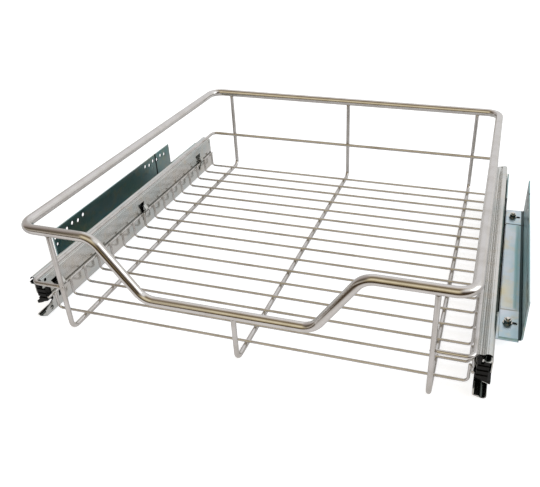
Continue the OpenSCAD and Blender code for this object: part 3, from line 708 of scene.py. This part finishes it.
def make_welds(material):
    """Beads where the floor wires, the mid rail and the rim meet the bearers, and at the ends
    of the floor wires."""
    crossings = [(x, y, 2 * BEARER_R) for x in (-BEARER_X, 0, BEARER_X) for y in FLOOR_Y]
    stubs = [(s * (STUB_X + FLOOR_R), y, SIDE_WIRE_Z) for s in (-1, 1) for y in FLOOR_Y]
    under_rim = [(x, s * (RIM_Y - 1), z - RIM_D / 2 + 0.1)
                 for x, zf in ((-BEARER_X, RIM_Z), (0, RIM_Z - DIP_DROP), (BEARER_X, RIM_Z))
                 for s, z in ((-1, zf), (1, RIM_Z))]
    backs = [(x, BEARER_Y - BEARER_R, MID_RAIL_Z) for x in (-BEARER_X, 0, BEARER_X)]
    ends = [(s * BEARER_X, -BEARER_Y, MID_RAIL_Z) for s in (-1, 1)]
    for name, places, size in (("floor_welds", crossings, (2.0, 1.5, 0.7)),
                               ("side_welds", stubs, (0.7, 1.5, 1.6)),
                               ("rim_welds", under_rim, (2.9, 3.0, 1.1)),
                               ("back_welds", backs, (2.2, 0.8, 1.6)),
                               ("return_welds", ends, (3.1, 2.6, 2.2))):
        new_piece(name, [weld_beads(places, size)], material, "basket")


# ---------- runners ----------

def on_runner(outline, y):
    """Places a (u, v) outline at a station y: u outwards from the rail's face, v upwards from
    the runner's middle."""
    return np.stack([RAIL_FACE + outline[:, 0], np.full(len(outline), y),
                     RUNNER_Z + outline[:, 1]], 1)


def arc(centre, radius, start, end, steps=11):
    """centre + radius (cos f, sin f) for f from start to end, in degrees."""
    f = np.radians(np.linspace(start, end, steps))
    return np.stack([centre[0] + radius * np.cos(f), centre[1] + radius * np.sin(f)], 1)


def both_ways(upper):
    """A centre line from the lower edge to the upper one, from its upper half."""
    return np.concatenate([(upper * (1, -1))[:0:-1], upper])


def rolled_piece(name, line, y0, y1, side, material, body, bevel, cutters):
    """A rail: its centre line thickened to RAIL_T, drawn out from y0 to y1, and cut."""
    rail = drawn_out(strip_outline(line, RAIL_T), np.linspace(y0, y1, 10), on_runner)
    piece = new_piece(name + "_finish", [on_side(rail, side)], material, body, [name])
    cut(piece, cutters, side)
    soften(piece, bevel)


def web_plug(outline_yz, u0=-3, u1=4):
    """A cutter through a rail: its outline in y and z, from u0 to u1 out from the rail's face."""
    return prism(outline_yz, RAIL_FACE + u0, RAIL_FACE + u1, 0)


def hook_window(y):
    """The opening left where a hook was bent out: wide towards the front at its top, drawn in
    at its waist."""
    z = RUNNER_Z
    return rounded([(y - 13, z + 13.8), (y - 4.6, z - 0.5), (y - 6.5, z - 12), (y + 3.5, z - 12),
                    (y + 0.5, z - 3), (y - 0.5, z + 3), (y + 4.2, z + 13.8)], 0.7, 4)


def hook_strip(y):
    """A hook: a strip along the (u, v) line of its bends. Its back edge is straight and its
    front edge bulges forward by 3.2 sin^2 over the middle of the line."""
    s = SIDE_WIRE_Z - RUNNER_Z
    out = -2 * SIDE_WIRE_R - 0.15 - RAIL_T / 2
    line = bent_path([(RAIL_T / 2, s - 12), (RAIL_T / 2, s - 8.4), (out, s - 2.6), (out, s + 4.4),
                      (out + 3.4, s + 10)], [1.2, 2.2, 2.4], steps=7)
    step = unit(np.diff(line, axis=0))
    tangent = unit(np.concatenate([step[:1], step[1:] + step[:-1], step[-1:]]))
    normal = np.stack([-tangent[:, 1], tangent[:, 0]], 1)
    t = np.linspace(0, 1, len(line))
    front = -1.2 - 3.2 * np.sin(np.pi * np.clip((t - 0.12) / 0.8, 0, 1)) ** 2
    ends = np.stack([front, np.full(len(line), 5.0)], 1)[:, [0, 1, 1, 0]]
    corner = np.array([-1, -1, 1, 1])
    uv = line[:, None] + RAIL_T / 2 * corner[None, :, None] * normal[:, None]
    points = np.concatenate([RAIL_FACE + uv[..., :1], y + ends[..., None],
                             RUNNER_Z + uv[..., 1:]], -1)
    last = 4 * (len(line) - 1)
    faces = grid_faces(len(line), 4, wrap_cols=True)[:, ::-1].tolist()
    return points, faces + [[0, 1, 2, 3], [last + 3, last + 2, last + 1, last]]


def make_basket_rail(side_name, side, material):
    """Web, flat shelf and rolled ball race, the same at both edges. The race's centre line
    goes out from 3.15 to 4.1 mm past its top: R = 3.15 + 0.95 cos(f) where f is under 90."""
    swell = (OUTER_RACE + OUTER_BACK) / 2 + 0.95 * np.clip(
        np.cos(np.radians(np.linspace(148, 15, 11))), 0, 1)[:, None]
    upper = np.concatenate([
        bent_path([(0.6, 0), (0.6, SHELF_V + 0.6), (OUTER_U - 2.7, SHELF_V + 0.6)], [1.5], steps=7),
        (OUTER_U, OUTER_V) + swell * arc((0, 0), 1, 148, 15)])
    f, b, z = RUNNER_FRONT, RUNNER_BACK, RUNNER_Z
    block_notch = [(f - 8, z + 11.6), (f - 8, z - 18.5), (f + 7.2, z - 11.6), (f + 15, z - 8.6),
                   (f + 15, z + 11.6)]
    top_corner = box_outline(f - 5, f + 4.2, z + 9, z + 40)
    wire_slot = box_outline(b - 10, b - 4, SIDE_WIRE_Z + 2.6, SIDE_WIRE_Z + 4.4)
    end_slot = box_outline(b - 5, b - 3.4, z + 17, z + 21.5)
    cutters = [web_plug(rounded(block_notch, 1.2)), web_plug(rounded(top_corner, 0.8), u1=20),
               web_plug(circle((f + 10.5, z + 19.8), 2.1)), web_plug(circle((f + 9, z - 17.2), 2.8)),
               web_plug(rounded(wire_slot, 0.6)), web_plug(rounded(end_slot, 0.4))]
    cutters += [web_plug(hook_window(y)) for y in HOOK_AT]
    rolled_piece("basket_rail_" + side_name, both_ways(upper), RUNNER_FRONT, RUNNER_BACK, side,
                 material, "basket", 0.18, cutters)
    hooks = new_piece("hooks_" + side_name, [on_side(hook_strip(y), side) for y in HOOK_AT],
                      material, "basket")
    soften(hooks, 0.25)


def make_middle_rail(side_name, side, material):
    """Web with a ball race outside and inside each edge. All that is left of its front end is
    the upper outer race."""
    mid_outer, mid_inner = (OUTER_RACE + OUTER_BACK) / 2, (INNER_RACE + INNER_BACK) / 2
    name = "middle_rail_" + side_name
    y0, y1 = RUNNER_FRONT + 1.5, RUNNER_BACK - 6
    web_u = MIDDLE_WEB_U + RAIL_T / 2
    cups = []
    for s in (1, -1):
        cup = np.concatenate([arc((OUTER_U, OUTER_V), mid_outer, 345, 195),
                              [(web_u + 0.2, OUTER_V - 1.4), (web_u, OUTER_V - 3), (web_u, 0)]])
        cap = arc((INNER_U, INNER_V), mid_inner, 15, 165)
        cups += [cup * (1, s), cap * (1, s)]
    parts = []
    for line in cups:
        outline = strip_outline(line, RAIL_T)
        if area(outline) > 0:
            outline = outline[::-1]
        parts.append(on_side(drawn_out(outline, np.linspace(y0, y1, 8), on_runner), side))
    piece = new_piece(name + "_finish", parts, material, name, [name])
    front = (RUNNER_FRONT - 4, RUNNER_FRONT + 24, RUNNER_Z - 30)
    cut(piece, [web_plug(box_outline(*front, RUNNER_Z + 17.9), 3, 20),
                web_plug(box_outline(*front, RUNNER_Z + 21.6), 2, 6.7)], side)
    soften(piece, 0.15)


def make_cabinet_rail(side_name, side, material):
    """Web with an inward ball race at each edge. The lower half of its front end is cut away."""
    mid_inner = (INNER_RACE + INNER_BACK) / 2
    web_u = CABINET_WEB_U + RAIL_T / 2
    lip = arc((INNER_U, INNER_V), mid_inner, 195, 345)
    upper = np.concatenate([[(web_u, 0), (web_u, INNER_V - 2.2)], lip[::-1]])
    lower_front = box_outline(RUNNER_FRONT - 4, RUNNER_FRONT + 24, RUNNER_Z - 30, RUNNER_Z)
    cutter = web_plug(rounded(lower_front, 1.2), 3, 22)
    rolled_piece("cabinet_rail_" + side_name, both_ways(upper), RUNNER_FRONT + 9, RUNNER_BACK,
                 side, material, "cabinet_side", 0.15, [cutter])


def make_block(side_name, side, nylon, zinc):
    """Black block: body with a sloping foot, ribs across its front, a lip, a neck, and the
    spring arm behind. A zinc leaf is folded round the foot."""
    name = "soft_close_" + side_name
    f, b, face, outer = BLOCK_FRONT, BLOCK_BACK, RAIL_T + 0.1, 12.6
    neck, reach = MIDDLE_WEB_U - 0.5, RUNNER_T - 0.1

    def at(outline):
        """Places a (u, v) outline on the right runner."""
        return np.asarray(outline, float) + (RAIL_FACE, RUNNER_Z)

    body = [(face, -7.5), (reach, -12.3), (reach, -9.4), (outer, -8.4), (outer, 10.2),
            (neck, 10.2), (neck, 22.3), (face, 22.3)]
    parts = [
        prism(at(body), f + 1.3, b, 1),
        prism(at([(face, -7.5), (reach, -12.3), (reach, -9.4), (outer, -8.4), (outer, -4.1),
                  (face, -4.1)]), f, f + 1.6, 1),
        prism(at([(face, 9.3), (outer, 9.3), (outer, 17.5), (7.4, 17.5), (7.4, 10.2), (neck, 10.2),
                  (neck, 22.3), (face, 22.3)]), f, f + 1.6, 1),
        prism(at(box_outline(RAIL_T, RAIL_T + 1.4, -7, 7)), b - 0.4, RUNNER_FRONT + 96, 1),
        prism(at(box_outline(RAIL_T, RAIL_T + 2, -8, 8)), b - 10, b + 0.3, 1)]
    for low, high in ((-2.3, 1.7), (3.5, 7.5)):
        parts.append(prism(at(box_outline(face, outer, low, high)), f, f + 1.6, 1))
    piece = new_piece(name + "_finish", [on_side(part, side) for part in parts], nylon, "basket",
                      [name])
    soften(piece, 0.35, segments=3)
    leaf = strip_outline(at(bent_path([(8.2, -10.1), (reach + 0.1, -12.7), (reach + 0.1, -9.2)],
                                      [0.9], steps=5)), 0.5)
    piece = new_piece("block_leaf_" + side_name, [on_side(prism(leaf, f - 0.4, b - 2, 1), side)],
                      zinc, "basket")
    soften(piece, 0.1)


def make_runners(zinc, inner_zinc, nylon):
    """The three rails and the closing block of each side; their cages and balls stay as solids."""
    for side_name, side in SIDES:
        make_basket_rail(side_name, side, zinc)
        make_middle_rail(side_name, side, inner_zinc)
        make_cabinet_rail(side_name, side, zinc)
        make_block(side_name, side, nylon, zinc)


# ---------- wall plates and brackets ----------

def joggle(y, at, width=2.4):
    """0 before a step in the sheet and 1 after it: 3 t^2 - 2 t^3 across its width."""
    t = np.clip((y - at) / width + 0.5, 0, 1)
    return 3 * t ** 2 - 2 * t ** 3


def make_wall_plate(side_name, side, material):
    """L of bent sheet. Its flange stands STEP_H higher between its two steps, which slope."""
    name = "wall_plate_" + side_name
    h = SHEET_T / 2
    line = bent_path([(FLANGE_X, FLANGE_Z + h), (PLATE_X - h, FLANGE_Z + h),
                      (PLATE_X - h, FLANGE_Z + PLATE_H)], [2.2], steps=8)
    line = np.concatenate([np.linspace(line[0], line[1], 6)[:-1], line[1:]])
    outline = strip_outline(line, SHEET_T, round_ends=False)

    def place(outline, y):
        """Places an (x, z) outline at a station y, with the flange lifted between the steps."""
        lift = STEP_H * joggle(y, FRONT_STEP) * (1 - joggle(y, BACK_STEP))
        weight = np.clip((PLATE_X - 3 - outline[:, 0]) / 2, 0, 1)
        return np.stack([outline[:, 0], np.full(len(outline), y), outline[:, 1] + lift * weight], 1)

    steps = np.linspace(-1.6, 1.6, 9)
    stations = np.unique(np.concatenate([np.linspace(PLATE_FRONT, PLATE_BACK, 25),
                                         FRONT_STEP + steps, BACK_STEP + steps]))
    piece = new_piece(name + "_finish", [on_side(drawn_out(outline, stations, place), side)],
                      material, name, [name])
    rows = FLANGE_Z + PLATE_H - 8, FLANGE_Z + PLATE_H - 10.3
    holes = [(SCREW_MIDDLE + s * (SCREW_INNER + SCREW_PITCH * j), rows[j % 2], SCREW_HOLE_R)
             for j in range(SCREW_PAIRS) for s in (-1, 1)]
    holes += [(PLATE_FRONT + 5, FLANGE_Z + 30, 2.2), (PLATE_FRONT + 246, FLANGE_Z + 31, 1.5)]
    cutters = [prism(circle((y, z), r), PLATE_X - 6, PLATE_X + 3, 0) for y, z, r in holes]
    slot_r = BOLT_R + 0.25
    for y in BOLT_Y:
        slot = np.concatenate([arc((BOLT_X + SLOT_OUT, y), slot_r, -90, 90, 9),
                               arc((BOLT_X - SLOT_IN, y), slot_r, 90, 270, 9)])
        cutters.append(prism(slot, FLANGE_Z - 4, FLANGE_Z + 6, 2))
    cut(piece, cutters, side)
    soften(piece, 0.2)


def make_bracket(side_name, side, material):
    """Angle under the plate, with an ear that runs on past it at the back. Its fold is tight,
    because the plate's flange slides in to within 1.8 mm of it."""
    name = "runner_bracket_" + side_name
    h = SHEET_T / 2
    line = bent_path([(BRACKET_X + BRACKET_FOOT, BRACKET_Z + h), (BRACKET_X + h, BRACKET_Z + h),
                      (BRACKET_X + h, BRACKET_Z + EAR_TOP)], [1.05], steps=8)
    outline = strip_outline(line, SHEET_T, round_ends=False)
    if area(outline) > 0:
        outline = outline[::-1]

    def place(outline, y):
        """Places an (x, z) outline at a station y."""
        return np.stack([outline[:, 0], np.full(len(outline), y), outline[:, 1]], 1)

    stations = np.linspace(PLATE_FRONT - BRACKET_AHEAD, PLATE_BACK + EAR_END, 14)
    piece = new_piece(name + "_finish", [on_side(drawn_out(outline, stations, place), side)],
                      material, "cabinet_side", [name])
    x0, x1 = BRACKET_X - 4, BRACKET_X + 32
    over_leg = box_outline(PLATE_FRONT - 9, PLATE_BACK - EAR_LAP, BRACKET_Z + BRACKET_LEG,
                           BRACKET_Z + 50)
    under_ear = box_outline(PLATE_BACK, PLATE_BACK + 50, BRACKET_Z - 6, BRACKET_Z + EAR_LOW)
    cut(piece, [prism(rounded(c, 1.5), x0, x1, 0) for c in (over_leg, under_ear)], side)
    soften(piece, 0.2)


def hexagon(across, a):
    """Distance from the middle to the side of a hexagon: across / 2 / cos(a), with a taken
    from the middle of its own side."""
    return across / 2 / np.cos((a + np.pi / 6) % (np.pi / 3) - np.pi / 6)


def ring_grid(radii, heights, at, closed):
    """Points at (r(k, a), z(k)) round a standing axis; rows that meet make a closed ring."""
    rows, cols = radii.shape
    a = np.linspace(0, 2 * np.pi, cols, endpoint=False)
    points = np.stack([at[0] + radii * np.cos(a), at[1] + radii * np.sin(a),
                       at[2] + np.broadcast_to(np.asarray(heights)[:, None], radii.shape)], -1)
    return points, grid_faces(rows, cols, wrap_rows=closed, wrap_cols=True)[:, ::-1]


def hex_nut(at, across, height, bore):
    """Nut with coned corners at both faces: r = min(hexagon, 0.47 across + 1.7 d), where d is
    the depth below the face."""
    a = np.linspace(0, 2 * np.pi, 72, endpoint=False)
    depth = np.array([0, 0.15, 0.3, 0.5, 0.7])
    rise = np.concatenate([depth, height - depth[::-1]])
    near = np.minimum(rise, height - rise)
    outer = np.minimum(hexagon(across, a)[None], (0.47 * across + 1.7 * near)[:, None])
    bores = np.full((4, 72), bore)
    bores[[0, 3]] = bore + 0.35
    radii = np.concatenate([bores, outer])
    heights = np.concatenate([[height, height - 0.35, 0.35, 0], rise])
    return ring_grid(radii, heights, at, True)


def flat_ring(at, outer, inner, height):
    """Washer: a rectangle with chamfers of 0.15 mm, turned once round."""
    e = 0.15
    profile = [(inner, height - e), (inner, e), (inner + e, 0), (outer - e, 0), (outer, e),
               (outer, height - e), (outer - e, height), (inner + e, height)]
    r, z = np.array(profile).T
    return ring_grid(np.broadcast_to(r[:, None], (8, 48)), z, at, True)


def threaded_bolt(at, head_h, top, across):
    """Hexagon head below, and a thread r = R - 0.3 |2 t - 1| above it, where t is what is left
    of z / 0.8 - a / 2 pi past a whole number."""
    a = np.linspace(0, 2 * np.pi, 36, endpoint=False)
    head_rise = np.array([0, 0, 0.3, 0.7, head_h - 0.1, head_h, head_h])
    head_cap = np.array([0.05, 0.47 * across, 0.47 * across + 0.5, 99, 99, 99, BOLT_R])
    head = np.minimum(hexagon(across, a)[None], head_cap[:, None])
    z = np.arange(head_h, top - 0.5, 0.1)
    wave = np.abs(((z[:, None] / 0.8 - a[None] / (2 * np.pi)) % 1) * 2 - 1)
    shank = BOLT_R - 0.3 * wave
    tip_z = np.array([top - 0.4, top - 0.1, top])
    tip = np.broadcast_to(np.array([BOLT_R - 0.25, BOLT_R - 0.6, 0.05])[:, None], (3, 36))
    return ring_grid(np.concatenate([head, shank, tip]), np.concatenate([head_rise, z, tip_z]),
                     at, False)


def rivet(y):
    """Through the rail and the bracket, with a head at each end: a quarter ellipse 3.8 mm wide
    and 0.9 mm high, turned once round."""
    f = np.linspace(0, np.pi / 2, 6)
    r = np.concatenate([3.8 * np.sin(f), [2.2, 2.2], 3.8 * np.sin(f[::-1])])
    r[[0, -1]] = 0.02
    along = np.concatenate([-0.9 * np.cos(f), [0, RAIL_T + SHEET_T],
                            RAIL_T + SHEET_T + 0.9 * np.cos(f[::-1])])
    a = np.linspace(0, 2 * np.pi, 28, endpoint=False)
    x = RAIL_FACE + CABINET_WEB_U + along
    points = np.stack([np.broadcast_to(x[:, None], (len(r), 28)), y + r[:, None] * np.cos(a),
                       RUNNER_Z + r[:, None] * np.sin(a)], -1)
    return points, grid_faces(len(r), 28, wrap_cols=True)[:, ::-1]


def make_fasteners(dark_zinc, zinc):
    """Bolts, washers and nuts in the plates' slots, and the rivets of the cabinet rails."""
    washer_z = FLANGE_Z + SHEET_T + 0.05
    head_h, washer_h, nut_h, past_nut, across = 3.4, 1, 4, 1.6, 8
    top = washer_z + washer_h + nut_h + past_nut - BRACKET_Z + head_h
    for side_name, side in SIDES:
        for place, y in (("front", BOLT_Y[0]), ("back", BOLT_Y[1])):
            tag = "_%s_%s" % (place, side_name)
            pieces = (("bolt", threaded_bolt((BOLT_X, y, BRACKET_Z - head_h), head_h, top, across)),
                      ("washer", flat_ring((BOLT_X, y, washer_z), 5.2, BOLT_R + 0.1, washer_h)),
                      ("nut", hex_nut((BOLT_X, y, washer_z + washer_h), across, nut_h,
                                      BOLT_R + 0.05)))
            for kind, part in pieces:
                new_piece(kind + tag + "_finish", [on_side(part, side)], dark_zinc,
                          "cabinet_side", [kind + tag], sharp=28)
        name = "rivets_" + side_name
        new_piece(name + "_finish", [on_side(rivet(y), side) for y in RIVET_AT], zinc,
                  "cabinet_side", [name], sharp=40)


def dress(prefix, material):
    """Gives a finish to the nodes that keep their solid model."""
    for name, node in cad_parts.items():
        if name.startswith(prefix):
            node.data.materials.clear()
            node.data.materials.append(material)


add_camera()
add_floor()
add_light()

rim_nickel = nickel_wire("rim_nickel", "#dcdad8", "#cdc9c4", 0.1)
wire_nickel = nickel_wire("wire_nickel", "#d6d4d2", "#bcb8b1", 0.14)
# The race colour given to each rolled zinc is painted shade inside the races.
zinc = rolled_zinc("rolled_zinc", "#e2e1dd", "#cfd5d4", "#dcd5c8", 0.15, 0.07, "#59605c")
# The zinc inside the runner and on the cages has painted shade on the webs' front ends.
inner_zinc = rolled_zinc("inner_zinc", "#e2e1dd", "#cfd5d4", "#dcd5c8", 0.2, 0.08, "#59605c",
                         painted_web_shade="#3a3e3d")
cage_zinc = rolled_zinc("cage_zinc", "#a2a6a4", "#9aa2a3", "#a8a49c", 0.28, 0.1, "#4a4e4b",
                        painted_web_shade="#7c807e")
plate_zinc = blue_zinc("blue_zinc")
dark_zinc = fastener_with_painted_top()
nylon = black_nylon()

make_wires(rim_nickel, wire_nickel)
make_welds(wire_nickel)
make_runners(zinc, inner_zinc, nylon)
for side_name, side in SIDES:
    make_wall_plate(side_name, side, plate_zinc)
    make_bracket(side_name, side, plate_zinc)
make_fasteners(dark_zinc, zinc)
for prefix in ("outer_cage", "inner_cage"):
    dress(prefix, cage_zinc)
for prefix in ("outer_balls", "inner_balls"):
    dress(prefix, zinc)

scene = bpy.context.scene
scene.view_settings.view_transform = "Standard"
